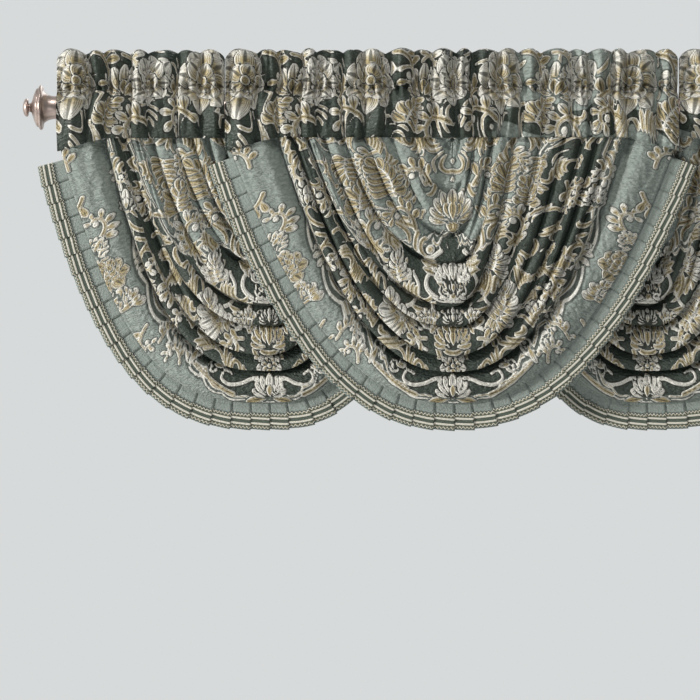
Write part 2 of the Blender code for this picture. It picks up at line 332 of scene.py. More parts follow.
    def vase(self, base, size, angle, tone):
        """A ring of ribbon about a gold fan on two volutes, with a broad fan on top."""
        ring = ((0.06, 0.02), (0.50, 0.08), (0.86, 0.40), (0.86, 0.74), (0.62, 0.98))
        for hand in (-1, 1):
            line = [turned(base, angle, hand * side * size, up * size) for side, up in ring]
            self.ribbon(line, size * 0.17, tone, 0.3)
            foot = turned(base, angle, hand * size * 0.32, size * 0.30)
            self.spiral(foot, size * 0.22, 1.3, size * 0.10, 1.2, hand, 0.2)
        self.palmette(turned(base, angle, 0.0, size * 0.26), size * 0.50, angle, 0.95)
        top = turned(base, angle, 0.0, size * 0.62)
        self.fan(top, angle, 3, 0.44, size * 0.66, size * 0.30, tone)

    def scroll(self, centre, size, angle, tone, hand):
        """A volute with one leaf."""
        self.spiral(centre, size, 1.5, size * 0.34, angle, hand, tone)
        self.petal(centre, angle + 2.0, size * 1.9, size * 0.7, 0.5)

    def bloom(self, centre, size, angle, tone):
        """A full peony: three rings of broad petals, each ring smaller and turned."""
        for ring, (share, count) in enumerate(((1.0, 8), (0.70, 7), (0.40, 5))):
            for k in range(count):
                turn = angle + 0.7 * ring + math.tau * k / count
                length = size * share * (1 + 0.12 * math.sin(5.1 * k + 2.3 * ring))
                self.petal(centre, turn, length, size * share * 5.6 / count, tone)
        self.disc(centre, size * 0.12, 1.0)

    def flow(self, seed, pitch, width, allowed):
        """Tapering scroll bands between the motifs: lines of equal height of an uneven field,
        broken where a second field is low."""
        random = np.random.default_rng(seed)
        level, slope_x, slope_y = self.waves(random, 8, 48, 95)
        swell, _, _ = self.waves(random, 6, 30, 60)
        steepness = np.maximum(np.hypot(slope_x, slope_y), 0.07)
        lines = 0.155 * pitch
        off = np.abs(level / lines - np.round(level / lines)) * lines / steepness
        half = width / 2 * np.clip(0.55 + 0.55 * swell, 0, 1) * smooth(allowed)
        found = np.nonzero(half > 0.7)
        depth = (half - off)[found]
        self.lay(found, depth, np.full(depth.shape, 0.85), np.ones(depth.shape))

    def waves(self, random, count, shortest, longest):
        """The sum of count waves that run across the cloth all ways, and its two slopes."""
        total, slope_x, slope_y = (np.zeros(self.across.shape) for _ in range(3))
        for _ in range(count):
            turn, phase = random.uniform(0, math.tau, 2)
            wave = math.tau / random.uniform(shortest, longest)
            x, y = wave * math.cos(turn), wave * math.sin(turn)
            angle = x * self.across + y * self.down + phase
            total += np.sin(angle)
            slope_x += x * np.cos(angle)
            slope_y += y * np.cos(angle)
        return total, slope_x, slope_y

    def fields(self, ground, across):
        """What the material reads at each point of the cloth."""
        return {
            "motif": self.depth,
            "tone": self.tone,
            "vein": self.vein,
            "ground": ground,
            "cloth": cloth_place(across, self.down),
        }


def turned(base, angle, side, up):
    """A point beside and above base, in a frame that is upright at angle 0."""
    return (
        base[0] + side * math.cos(angle) + up * math.sin(angle),
        base[1] + side * math.sin(angle) - up * math.cos(angle),
    )


def spline(points, steps):
    """A smooth line through points."""
    before, after = 2 * points[:1] - points[1:2], 2 * points[-1:] - points[-2:-1]
    padded = np.concatenate([before, points, after])
    found = []
    for i in range(1, len(padded) - 2):
        p0, p1, p2, p3 = padded[i - 1 : i + 3]
        for t in np.arange(steps) / steps:
            found.append(
                p1
                + 0.5 * t * (p2 - p0)
                + t * t * (p0 - 2.5 * p1 + 2 * p2 - 0.5 * p3)
                + t**3 * (1.5 * (p1 - p2) + 0.5 * (p3 - p0))
            )
    found.append(points[-1])
    return np.array(found)


# Materials


class Nodes:
    """Short names for the shader nodes of a material or of the surroundings."""

    def __init__(self, made, shader, **settings):
        made.use_nodes = True
        self.made = made
        self.tree = made.node_tree
        self.shader = self.tree.nodes[shader]
        for socket, value in settings.items():
            self.shader.inputs[socket.replace("_", " ")].default_value = value

    def link(self, value, socket):
        if isinstance(value, bpy.types.NodeSocket):
            self.tree.links.new(value, socket)
        else:
            socket.default_value = value

    def node(self, kind, output=0, inputs=None, **properties):
        made = self.tree.nodes.new(kind)
        for key, value in properties.items():
            setattr(made, key, value)
        for key, value in (inputs or {}).items():
            self.link(value, made.inputs[key])
        return made.outputs[output]

    def attribute(self, name, output="Fac"):
        return self.node("ShaderNodeAttribute", output, attribute_name=name)

    def math(self, operation, a, b=0.0):
        return self.node("ShaderNodeMath", 0, {0: a, 1: b}, operation=operation)

    def plus(self, a, b):
        return self.math("ADD", a, b)

    def minus(self, a, b):
        return self.math("SUBTRACT", a, b)

    def times(self, a, b):
        return self.math("MULTIPLY", a, b)

    def between(self, share, low, high):
        """From low to high as share goes from 0 to 1."""
        return self.node("ShaderNodeMapRange", 0, {0: share, 3: low, 4: high})

    def step(self, value, low, high):
        """0 below low, 1 above high, smooth between."""
        inputs = {0: value, 1: low, 2: high}
        return self.node("ShaderNodeMapRange", 0, inputs, interpolation_type="SMOOTHSTEP")

    def band(self, value, low, high, soft):
        """1 between low and high."""
        rise = self.step(value, low - soft, low + soft)
        return self.minus(rise, self.step(value, high - soft, high + soft))

    def mix(self, share, a, b):
        made = self.tree.nodes.new("ShaderNodeMix")
        made.data_type = "RGBA"
        for value, socket in ((share, 0), (a, 6), (b, 7)):
            self.link(value, made.inputs[socket])
        return made.outputs[2]

    def noise(self, vector, scale, detail, stretch=None):
        if stretch:
            vector = self.node("ShaderNodeMapping", 0, {"Vector": vector, "Scale": stretch})
        inputs = {"Vector": vector, "Scale": scale, "Detail": detail}
        return self.node("ShaderNodeTexNoise", 0, inputs)

    def bump(self, height, distance, strength=1.0):
        inputs = {"Strength": strength, "Distance": distance, "Height": height}
        return self.node("ShaderNodeBump", 0, inputs)

    def set(self, socket, value):
        self.link(value, self.shader.inputs[socket])


def new_material(name, **settings):
    return Nodes(bpy.data.materials.new(name), "Principled BSDF", **settings)


SAGE = (0.262, 0.302, 0.276, 1)
SAGE_SHADE = (0.185, 0.218, 0.198, 1)
SAGE_LIGHT = (0.36, 0.41, 0.38, 1)
GREEN = (0.025, 0.036, 0.028, 1)
GREEN_LIGHT = (0.046, 0.063, 0.050, 1)
IVORY = (0.77, 0.76, 0.70, 1)
IVORY_SHADE = (0.52, 0.51, 0.46, 1)
GOLD = (0.43, 0.355, 0.19, 1)
GOLD_SHADE = (0.25, 0.20, 0.10, 1)
# Dark motif lines and veins; round the motifs' edges the same colour is also painted shadow
OUTLINE_AND_SHADOW = (0.018, 0.021, 0.014, 1)
BRAID_GREEN = (0.110, 0.135, 0.105, 1)
BRAID_SHADE = (0.040, 0.052, 0.040, 1)
CORD_SHADE = (0.40, 0.37, 0.28, 1)
NICKEL = (0.52, 0.43, 0.39, 1)
NICKEL_SHADE = (0.36, 0.285, 0.255, 1)
FLOOR = (0.92, 0.91, 0.89, 1)


def damask_material():
    """Jacquard cloth: sage and dark green grounds with raised ivory and gold threads."""
    n = new_material("damask", Specular_IOR_Level=0.38, Sheen_Weight=0.04)
    cloth = n.attribute("cloth", "Vector")
    depth = n.attribute("motif")
    vein = n.attribute("vein")
    threads = n.noise(cloth, 0.55, 2.0, (1.0, 3.2, 1.0))
    mottle = n.noise(cloth, 0.20, 4.0)
    dark = n.step(n.attribute("ground"), -0.5, 0.5)
    sage = n.mix(n.step(mottle, 0.35, 0.68), SAGE_SHADE, SAGE)
    green = n.mix(n.step(threads, 0.35, 0.75), GREEN, GREEN_LIGHT)
    ground = n.mix(dark, sage, green)

    # The motifs are ivory or gold, with stripes inside their edges, dark veins and an ivory rim
    tone = n.plus(n.attribute("tone"), n.times(n.minus(threads, 0.5), 0.5))
    ivory = n.mix(n.step(threads, 0.30, 0.62), IVORY_SHADE, IVORY)
    gold = n.mix(n.step(threads, 0.35, 0.65), GOLD_SHADE, GOLD)
    stripes = n.math("SINE", n.times(n.minus(depth, 1.15), 2.5))
    stripes = n.times(stripes, n.step(vein, 0.15, 0.55))
    motif = n.mix(n.step(tone, 0.45, 0.70), ivory, gold)
    motif = n.mix(n.times(n.step(stripes, 0.25, 0.90), 0.70), motif, IVORY_SHADE)
    motif = n.mix(n.times(n.step(stripes, -0.45, -0.95), 0.70), motif, OUTLINE_AND_SHADOW)
    motif = n.mix(n.times(n.minus(1.0, n.step(vein, 0.10, 0.26)), 0.8), motif, OUTLINE_AND_SHADOW)
    motif = n.mix(n.minus(1.0, n.step(depth, 0.85, 1.15)), motif, ivory)

    inside = n.step(depth, -0.25, 0.25)
    # A dark ring just outside each motif's edge, stronger on the dark ground: partly the damask's
    # woven outline, partly painted shadow of the raised motif on the ground
    outline = n.times(n.band(depth, -1.9, -0.05, 0.35), n.plus(n.times(dark, 0.30), 0.62))
    n.set("Base Color", n.mix(inside, n.mix(outline, ground, OUTLINE_AND_SHADOW), motif))
    n.set("Roughness", n.between(inside, 0.40, 0.62))

    # The motifs stand up from a puckered ground, with a fine weave over all
    pucker = n.noise(cloth, 0.16, 3.0, (1.0, 2.4, 1.0))
    cord = n.times(stripes, n.times(inside, 0.16))
    height = n.plus(n.plus(n.step(depth, -0.9, 1.2), cord), n.times(pucker, 2.1))
    height = n.plus(height, n.times(n.noise(cloth, 1.6, 1.0), 0.18))
    n.set("Normal", n.bump(height, 0.0017))
    return n.made


def frill_material():
    """Plain sage cloth, finely crinkled."""
    n = new_material("frill_cloth", Roughness=0.6, Specular_IOR_Level=0.25, Sheen_Weight=0.05)
    cloth = n.attribute("cloth", "Vector")
    crinkle = n.noise(cloth, 0.22, 4.0, (1.0, 1.6, 1.0))
    threads = n.noise(cloth, 1.1, 1.0, (1.0, 2.5, 1.0))
    colour = n.mix(n.step(crinkle, 0.3, 0.7), SAGE_SHADE, SAGE)
    n.set("Base Color", n.mix(n.times(threads, 0.35), colour, SAGE_LIGHT))
    n.set("Normal", n.bump(n.plus(crinkle, n.times(threads, 0.3)), 0.0015, 0.9))
    return n.made


def braid_material():
    """Flat braid: a dark band between two ivory cords, and zigzags along both edges."""
    n = new_material("braid", Roughness=0.7, Specular_IOR_Level=0.25, Sheen_Weight=0.05)
    across = n.attribute("across")
    off = n.math("ABSOLUTE", across)
    weave = n.noise(n.attribute("cloth", "Vector"), 0.9, 2.0, (2.2, 1.0, 1.0))
    twill = n.math("SINE", n.times(n.plus(n.attribute("run"), across), 4.2))
    dark = n.mix(n.step(weave, 0.3, 0.7), BRAID_SHADE, BRAID_GREEN)
    ivory = n.mix(n.step(twill, -0.8, 0.4), CORD_SHADE, IVORY)
    gold = n.mix(n.step(twill, -0.8, 0.4), GOLD_SHADE, GOLD)
    zigzag = n.minus(n.attribute("picot"), off)
    colour = n.mix(n.band(off, 2.3, 4.6, 0.2), dark, ivory)
    colour = n.mix(n.band(zigzag, -0.55, 0.55, 0.15), colour, ivory)
    colour = n.mix(n.band(zigzag, 1.15, 1.60, 0.15), colour, gold)
    n.set("Base Color", colour)
    n.set("Normal", n.bump(n.plus(n.times(twill, 0.25), weave), 0.0006, 0.8))
    return n.made


def metal_material():
    """Brushed champagne nickel, the brush marks running round the turned shapes."""
    n = new_material("rod_metal", Metallic=0.9, Roughness=0.36)
    place = n.node("ShaderNodeTexCoord", "Object")
    brush = n.noise(place, 900.0, 2.0, (1.0, 0.06, 0.06))
    cloud = n.noise(place, 40.0, 3.0)
    n.set("Base Color", n.mix(n.step(cloud, 0.3, 0.7), NICKEL_SHADE, NICKEL))
    n.set("Roughness", n.between(brush, 0.28, 0.46))
    n.set("Normal", n.bump(brush, 0.0002, 0.4))
    return n.made


# Meshes


def sheet_mesh(name, places, material, fields, closed=False):
    """A piece from a grid of places, rows by columns by 3, with a number at each point for
    each field. closed joins the last row to the first."""
    rows, columns = places.shape[:2]
    at = np.arange(rows * columns).reshape(rows, columns)
    low = at if closed else at[:-1]
    high = np.roll(at, -1, axis=0) if closed else at[1:]
    quads = np.stack([low[:, :-1], high[:, :-1], high[:, 1:], low[:, 1:]], axis=-1)
    mesh = bpy.data.meshes.new(name)
    mesh.from_pydata(places.reshape(-1, 3), [], quads.reshape(-1, 4))
    for field, values in fields.items():
        vector = values.ndim == 3
        kind, key = ("FLOAT_VECTOR", "vector") if vector else ("FLOAT", "value")
        made = mesh.attributes.new(field, kind, "POINT")
        made.data.foreach_set(key, values.reshape(-1).astype(np.float32))
    mesh.materials.append(material)
    mesh.shade_smooth()
    made = bpy.data.objects.new(name, mesh)
    bpy.context.scene.collection.objects.link(made)
    return made


def weld(made):
    """Makes points that share a place one point."""
    bm = bmesh.new()
    bm.from_mesh(made.data)
    bmesh.ops.remove_doubles(bm, verts=bm.verts, dist=1e-5)
    bm.to_mesh(made.data)
    bm.free()


def thicken(made):
    solid = made.modifiers.new("thickness", "SOLIDIFY")
    solid.thickness = CLOTH_THICKNESS
    solid.offset = 0.0


def cloth_place(across, down):
    """The cloth coordinates as a vector field."""
    return np.stack([across, down, np.zeros_like(across)], axis=-1)


# Swags

LEFT_REACHES = np.array([0.0] + [fold.left for fold in FOLDS])
RIGHT_REACHES = np.array([0.0] + [fold.right for fold in FOLDS])
DROPS = np.array([0.0] + [fold.drop for fold in FOLDS])
RISES = np.array([fold.rise for fold in FOLDS])

# The cloth hidden in each crease but the last, the share of a fold over which the pattern
# passes it, and how far before the crease that begins
HIDDEN_CLOTH = np.array([0.006, 0.008, 0.010, 0.020, 0.018, 0.020, 0.014])
PASSING_SHARE = 0.28
PASSING_LEAD = 0.07


def seam_height(distance, reach):
    """The height of the seam at a distance from a swag's middle."""
    run = (np.abs(distance) / reach - LEVEL_SHARE) / (1 - LEVEL_SHARE)
    return SEAM_HEIGHT - SEAM_END_DROP * np.maximum(run, 0.0)


def hanging_plane(swag, left, share, index):
    """Where a swag's cloth would hang if it had no folds: its reach along the heading, its
    height and its depth."""
    creases = np.arange(FOLD_COUNT + 1)
    full = np.where(left, swag.left, swag.right)
    left_reach = np.interp(index, creases, LEFT_REACHES)
    right_reach = np.interp(index, creases, RIGHT_REACHES)
    reach = np.where(left, left_reach, right_reach) * full / FULL_REACH
    drop = np.interp(index, creases, DROPS)
    edge_power = np.where(left, swag.left_power, swag.right_power)
    power = lerp(INNER_CURVE_POWER, edge_power, index / FOLD_COUNT)
    top = seam_height(reach, full) - SEAM_GAP
    bottom = SEAM_HEIGHT - SEAM_GAP - drop
    height = bottom + (top - bottom) * share**power
    fall = np.clip((top - height) / LEAN_DEPTH, 0.0, 1.0)
    belly = swag.belly * np.sin(math.pi * drop / SWAG_DROP) * (1 - share**2)
    return reach, height, swag.top + swag.lean * fall * (2 - fall) - belly * fall


def fold_relief(swag, left, share, index, reach):
    """How far the cloth stands out: in ridges across the middle, which flatten towards the
    heading, and in tubes up the sides."""
    full = np.where(left, swag.left, swag.right)
    fold = np.clip(np.ceil(index) - 1, 0, FOLD_COUNT - 1).astype(int)
    width = reach - np.where(left, LEFT_REACHES[fold], RIGHT_REACHES[fold]) * full / FULL_REACH
    across = RISES[np.clip(np.floor(index), 0, FOLD_COUNT - 1).astype(int)]
    across = np.where(index < FOLD_COUNT - 1, swag.fullness, 1.0) * across
    rise = lerp(across, np.minimum(SIDE_RIDGE, across), smooth(share * 2))
    at_heading = np.minimum(HEADING_RIDGE, HEADING_RIDGE_SHARE * width)
    rise = lerp(rise, at_heading, smooth(share * 2 - 1))
    phase = index - np.floor(index)
    ridge = rise * np.sin(math.pi * phase) ** RIDGE_ROUNDNESS

    tube = (reach + 0.010 * np.sin(reach * 31 + swag.middle * 9)) / TUBE_WIDTH + 0.5
    tube = np.abs(np.sin(math.pi * tube))
    tube = tube**0.7 - 0.30 * np.exp(-((tube / 0.22) ** 2))
    tube = tube * TUBE_RISE * (1 - 0.35 * smooth((share - 0.8) / 0.2))
    gathered = smooth((share - 0.28) / 0.5) * smooth((7.0 - index) / 0.6)

    pinch = np.exp(-((np.minimum(phase, 1 - phase) / 0.12) ** 2)) * smooth(2 * index)
    pinch = pinch * smooth((FOLD_COUNT - index) / 0.3) * (1 - gathered)
    return smooth(index / 1.1) * (lerp(ridge, tube, gathered) - CREASE_DEPTH * pinch)


def fine_relief(side, share, index, across, height):
    """Finer gathers under the heading, drag lines along the folds, soft dents, crinkles, the
    deeper ones in the border, and a ridge beside the edge."""
    close = smooth(1 - (1 - share) / 0.45) * smooth(index / 1.5)
    gathers = 0.0010 * np.sin(math.tau * (2.3 * index + 0.25 * np.sin(3.1 * index)) + 2 * side)
    pulled = smooth((share - 0.45) / 0.4)
    drag = 0.0010 * crumple(across * 60, share * 7 + index * 0.8, 37) * pulled
    spread = smooth((1.2 - share) * 3)
    drag = drag + 0.0011 * wobble(index * 3.1 + side, share * 3.0, 11) * spread
    dents = 0.0016 * wobble(side * share * 5.0, index * 0.9, 12)
    border = 0.0014 * smooth((index - 6.9) / 0.4)
    crinkles = border * crumple(side * share * 44 + index, index * 2.6, 38)
    crinkles = crinkles + 0.0005 * crumple(across * 230, height * 150, 39)
    fade = smooth((FOLD_COUNT - index) / 0.5)
    hem = 0.0013 * np.exp(-(((FOLD_COUNT - index) / 0.055 - 0.9) ** 2))
    return fade * (gathers * close + drag + dents + crinkles) + hem


def swag_surface(swag, along, index):
    """Points of a swag's cloth: along runs from -1 at the left of the heading to 1 at its
    right, and index counts creases outwards from the middle."""
    left = along < 0
    side = np.where(left, -1.0, 1.0)
    share = np.abs(along)
    reach, height, depth = hanging_plane(swag, left, share, index)
    across = side * reach * share
    out = fold_relief(swag, left, share, index, reach)
    out = out + fine_relief(side, share, index, across, height)
    droop = FOLD_DROOP * np.maximum(out, 0) * (1 - share**2)
    return np.stack([swag.middle + across, depth - out, height - droop], axis=-1)


def cloth_of_swag(swag, along, index):
    """Millimetres of cloth (across from the swag's middle, down from its seam), with the
    cloth that lies hidden in each crease."""
    places = swag_surface(swag, along, index)
    share = np.abs(along)
    side = np.where(along < 0, -1.0, 1.0)
    past = index[..., None] - np.arange(1, FOLD_COUNT) + PASSING_LEAD
    hidden = (smooth(past / PASSING_SHARE + 0.5) * HIDDEN_CLOTH).sum(axis=-1)
    turn = math.pi / 2 * share**1.8
    across = places[..., 0] - swag.middle + side * hidden * np.sin(turn)
    down = SEAM_HEIGHT - places[..., 2] + hidden * np.cos(turn)
    return across * 1000, down * 1000


# The motifs of half a swag, mirrored about its middle: millimetres across from the middle and
# down from the seam on the hanging cloth, the kind, its size, angle, hand and tone.
Motif = namedtuple("Motif", "across down kind size angle hand tone")
SWAG_MOTIFS = (
    Motif(150, 262, "acanthus", 30, -0.4, -1, 0.5),
    Motif(166, 240, "acanthus", 34, 2.7, 1, 0.5),
    Motif(184, 212, "spray", 40, 0.3, 1, 0.5),
    Motif(204, 200, "palmette", 26, 2.7, 1, 0.7),
    Motif(230, 132, "acanthus", 40, -0.6, 1, 0.5),
    Motif(216, 172, "bloom", 32, 0.9, 1, 0.75),
    Motif(238, 146, "palmette", 28, -0.5, 1, 0.6),
    Motif(244, 74, "acanthus", 40, 2.9, -1, 0.7),
    Motif(262, 40, "acanthus", 34, 0.2, 1, 0.7),
    Motif(122, 292, "acanthus", 30, 0.2, 1, 0.4),
    Motif(94, 268, "scroll", 15, 0.6, 1, 0.3),
    Motif(74, 294, "scroll", 12, 2.6, -1, 0.2),
    Motif(200, 30, "acanthus", 34, 2.8, 1, 0.2),
    Motif(188, 88, "palmette", 34, 0.1, 1, 0.1),
    Motif(166, 62, "acanthus", 40, 3.0, -1, 0.6),
    Motif(160, 132, "acanthus", 40, 2.6, 1, 0.3),
    Motif(138, 30, "spray", 48, 3.0, 1, 0.7),
    Motif(128, 176, "acanthus", 44, 2.4, 1, 0.5),
    Motif(118, 96, "spray", 46, 0.3, -1, 0.7),
    Motif(96, 20, "acanthus", 32, 1.9, 1, 0.5),
    Motif(72, 70, "spray", 60, 0.2, 1, 0.8),
    Motif(92, 150, "acanthus", 46, 0.9, -1, 0.4),
    Motif(104, 244, "acanthus", 34, 0.4, 1, 0.4),
    Motif(60, 238, "spray", 66, 0.85, -1, 0.3),
    Motif(70, 190, "spray", 40, 0.6, -1, 0.3),
    Motif(48, 120, "acanthus", 40, 0.3, 1, 0.8),
    Motif(34, 262, "acanthus", 30, 1.5, 1, 0.9),
    Motif(22, 238, "spray", 30, 1.1, 1, 0.4),
    Motif(22, 58, "acanthus", 36, 0.5, 1, 0.8),
    Motif(0, 110, "palmette", 46, 0.0, 1, 0.6),
    Motif(0, 214, "vase", 42, 0.0, 1, 0.1),
    Motif(0, 241, "palmette", 20, 0.0, 1, 0.05),
    Motif(0, 272, "palmette", 38, 0.0, 1, 0.95),
    Motif(0, 297, "rosette", 19, 0.0, 1, 0.4),
    Motif(0, 338, "lotus", 32, 0.0, 1, 0.05),
)


def lay_motif(pattern, centre, motif):
    """Lays one motif of a table at centre."""
    hand = (motif.hand,) if motif.kind in ("spray", "acanthus", "scroll") else ()
    getattr(pattern, motif.kind)(centre, motif.size, motif.angle, motif.tone, *hand)


# The ribbons of half a swag: the points of each as for the motifs, its width and its tone.
Ribbon = namedtuple("Ribbon", "points width tone")
SWAG_RIBBONS = (
    Ribbon(((48, 334), (66, 325), (88, 306), (110, 282), (128, 252), (140, 214)), 7.0, 0.8),
    Ribbon(((5, 312), (22, 313), (38, 320), (54, 321), (64, 312), (58, 303), (50, 308)), 5.5, 0.3),
    Ribbon(((12, 250), (32, 246), (47, 254), (44, 270), (34, 276)), 5.5, 0.1),
    Ribbon(((16, 150), (30, 158), (44, 150), (46, 134)), 6.5, 0.1),
    Ribbon(((64, 222), (50, 212), (44, 196), (52, 176)), 6.0, 0.3),
)

# The two lines round the dark ground, in millimetres: how far outside its edge, half the
# width of each, and its tone.
GroundLine = namedtuple("GroundLine", "off half tone")
GROUND_LINES = (GroundLine(8.5, 1.0, 0.1), GroundLine(3.0, 1.6, 0.8))
FOLD_CLOTH = 32.0


def swag_ground(share, index):
    """How far inside the dark ground a point lies, in millimetres: a wide crescent low in
    the middle that thins out up the folds, with a scalloped edge."""
    low = np.interp(share, (0.0, 0.3, 0.6, 1.0), (1.9, 2.3, 3.5, 5.3))
    high = np.interp(share, (0.0, 0.2, 0.5, 1.0), (7.70, 7.45, 6.95, 6.45))
    scallop = 0.13 * np.abs(np.sin(share * 26.0)) + 0.08 * np.sin(share * 11.0)
    scallop = scallop * smooth(share / 0.25)
    return np.minimum(index - low - scallop, high + scallop - index) * FOLD_CLOTH


def cloth_finder():
    """Gives the place on the cloth of a point of the picture of half a swag, found where the
    cloth shows on the left half of the middle one."""
    along, index = np.meshgrid(np.linspace(-1, 0, 161), np.linspace(0, FOLD_COUNT, 321))
    places = swag_surface(MIDDLE_SWAG, along, index)
    across, down = cloth_of_swag(MIDDLE_SWAG, along, index)
    side, below = -places[..., 0] * 1000, (SEAM_HEIGHT - places[..., 2]) * 1000
    phase = index - np.floor(index)
    tucked = ((phase > 0.76) | (phase < 0.08)) * (index < FOLD_COUNT - 0.3)

    def find(place):
        away = (side - place[0]) ** 2 + (below - place[1]) ** 2
        at = np.argmin(away + 30.0**2 * tucked)
        return abs(float(across.flat[at])), float(down.flat[at])

    return find


def swag_fields(swag, along, index):
    """The pattern's fields at each point of a swag."""
    across, down = cloth_of_swag(swag, along, index)
    pattern = Damask(np.abs(across), down)
    ground = swag_ground(np.abs(along), index)
    for line in GROUND_LINES:
        depth = line.half - np.abs(ground + line.off)
        pattern.tone = np.where(depth > pattern.depth, line.tone, pattern.tone)
        pattern.depth = np.maximum(depth, pattern.depth)
    pattern.flow(51, 11.0, 7.5, (6.95 - index) * 4)
    find = cloth_finder()
    for ribbon in SWAG_RIBBONS:
        pattern.ribbon([find(point) for point in ribbon.points], ribbon.width, ribbon.tone, 0.3)
    for motif in SWAG_MOTIFS:
        lay_motif(pattern, find(motif[:2]), motif)
    return pattern.fields(ground, across)


def edge_path(swag):
    """The swag's curved edge from left to right: its places along the heading, its points,
    the run to each and the direction out of the cloth at each."""
    along = np.linspace(-FRILL_START, FRILL_START, 1601)
    points = swag_surface(swag, along, np.full(along.shape, float(FOLD_COUNT)))
    steps = np.linalg.norm(np.diff(points, axis=0), axis=1)
    run = np.concatenate([[0.0], np.cumsum(steps)])
    slope = np.gradient(points[:, [0, 2]], axis=0)
    slope /= np.linalg.norm(slope, axis=1)[:, None]
    return along, points, run, np.stack([slope[:, 1], -slope[:, 0]], axis=-1)


def edge_length(swag):
    return float(edge_path(swag)[2][-1])


def make_swag(swag, material):
    """One swag's draped cloth."""
    edge_along, _, run, _ = edge_path(swag)
    even = np.linspace(0, run[-1], swag.columns + 1)
    along = np.interp(even, run, edge_along) / FRILL_START
    index = np.linspace(0.0, FOLD_COUNT, FOLD_COUNT * swag.rows + 1)
    along, index = np.meshgrid(along, index)
    places = swag_surface(swag, along, index)
    fields = swag_fields(swag, along, index)
    places[..., 1] -= 0.0004 * smooth((fields["motif"] + 0.8) / 2.0)
    made = sheet_mesh(f"swag_cloth_{swag.name}", places, material, fields)
    weld(made)
    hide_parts(f"swag_{swag.name}")
    return made


# Frills and braids

# The face of a knife pleat: the share of the way along it, and its height there
PLEAT_FACE = ((0.00, 0.30), (0.04, 0.42), (0.30, 0.62), (0.60, 0.82), (0.90, 0.97), (1.0, 1.0))
PLEAT_OVERLAP = 0.0022
PLEAT_TURN = 0.0020
GROOVE_DEPTH = 0.0017
FRILL_BEHIND = 0.0022
BRAID_BEFORE = 0.0010
PICOTS_A_PLEAT = 6
PICOT_HEIGHT = 0.0014

# Half the braid's cross-section: the share of the way from its middle to its edge, and the
# height there, with a raised cord at a third of the way
BRAID_FACE = (
    (0.0, 0.3), (0.21, 0.2), (0.29, 1.0), (0.43, 1.0), (0.51, 0.2), (0.78, 0.6), (1.0, 0.2),
)


def pleat_columns(swag, steps):
    """The columns of the knife pleats along the edge: the run of each along the edge, its
    height from 0 at a pleat's root to 1 at its folded edge, which overlaps the next pleat,
    how far each pleat is turned outwards there, and the grooves between pleats."""
    length = edge_length(swag)
    count = round(length / PLEAT_PITCH)
    random = np.random.default_rng(5)
    ends = np.arange(count + 1) * length / count
    ends[1:-1] += random.uniform(-0.0014, 0.0014, count - 1)
    share = np.linspace(0.0, 1.0, steps + 1)
    runs, heights, turns = [], [], []
    for start, end in zip(ends, ends[1:]):
        overlap = PLEAT_OVERLAP if end < ends[-1] else 0.0
        lift = random.uniform(0.85, 1.12)
        runs += [start + share * (end + overlap - start), [end + overlap * 0.9]]
        heights += [np.interp(share, *zip(*PLEAT_FACE)) * lift, [0.5 * lift]]
        turns += [(share - 0.5) * random.uniform(0.7, 1.2), [0.45]]
    groove = np.tile(np.append(share == 0, True), count)
    return [np.concatenate(column) for column in (runs, heights, turns)] + [groove]


def on_edge(swag, runs, heights, beyond, before):
    """Places on the pleated edge strip, for beyond of rows by columns, a distance before
    the frill's own middle."""
    _, points, run, out = edge_path(swag)
    at = [np.interp(runs, run, points[:, i]) for i in range(3)]
    away = np.stack([np.interp(runs, run, out[:, i]) for i in range(2)])
    away /= np.hypot(*away)
    rise = lerp(PLEAT_RISE_AT_SEAM, PLEAT_RISE, np.clip(beyond / FRILL_WIDTH, 0, 1))
    depth = at[1] + FRILL_BEHIND + PLEAT_RISE_AT_SEAM - rise * heights - before
    return np.stack([at[0] + away[0] * beyond, depth, at[2] + away[1] * beyond], axis=-1)


def make_frill(swag, material):
    """The pleated frill, whose outer edge steps a little at each pleat."""
    runs, heights, turns, groove = pleat_columns(swag, 8)
    rows = np.linspace(-FRILL_TUCK, FRILL_WIDTH, 19)[:, None]
    outwards = np.clip(rows / FRILL_WIDTH, 0, 1)
    places = on_edge(swag, runs, heights, rows + PLEAT_TURN * turns * outwards, 0.0)
    waver = 0.0005 * wobble(runs * 160, rows * 90, 21)
    places[..., 1] += waver * outwards + GROOVE_DEPTH * groove * smooth(rows / 0.004)
    across, down = np.broadcast_arrays(runs * 1000 + 20 * turns, rows * 1000)
    fields = {"cloth": cloth_place(across, down)}
    made = sheet_mesh(f"frill_cloth_{swag.name}", places, material, fields)
    thicken(made)
    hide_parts(f"frill_{swag.name}")
    return made


def make_braid(swag, material):
    """The braid, pleated in with the frill: raised cords along it and picots on both edges."""
    steps = PICOTS_A_PLEAT * 4
    runs, heights, turns, groove = pleat_columns(swag, steps)
    middle = (BRAID_INNER + FRILL_WIDTH) / 2
    half = (FRILL_WIDTH - BRAID_INNER) / 2 - PICOT_HEIGHT
    phase = np.tile(np.append(np.arange(steps + 1) % 4, 0), len(runs) // (steps + 2))
    reach = half + PICOT_HEIGHT * (1 - np.abs(phase - 2))
    face = np.array(BRAID_FACE)
    shares = np.concatenate([-face[:0:-1, 0], face[:, 0]])[:, None]
    relief = np.concatenate([face[:0:-1, 1], face[:, 1]])[:, None]
    across = shares * np.where(np.abs(shares) == 1.0, reach, half)
    beyond = middle + across + PLEAT_TURN * turns
    places = on_edge(swag, runs, heights, beyond, BRAID_BEFORE)
    places[..., 1] += GROOVE_DEPTH * groove - 0.0007 * relief
    run, picot, across = np.broadcast_arrays(runs * 1000, (reach - 0.0017) * 1000, across * 1000)
    fields = {"across": across, "run": run, "picot": picot, "cloth": cloth_place(run, across)}
    made = sheet_mesh(f"braid_strip_{swag.name}", places, material, fields)
    thicken(made)
    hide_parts(f"braid_{swag.name}")
    return made


# Headings

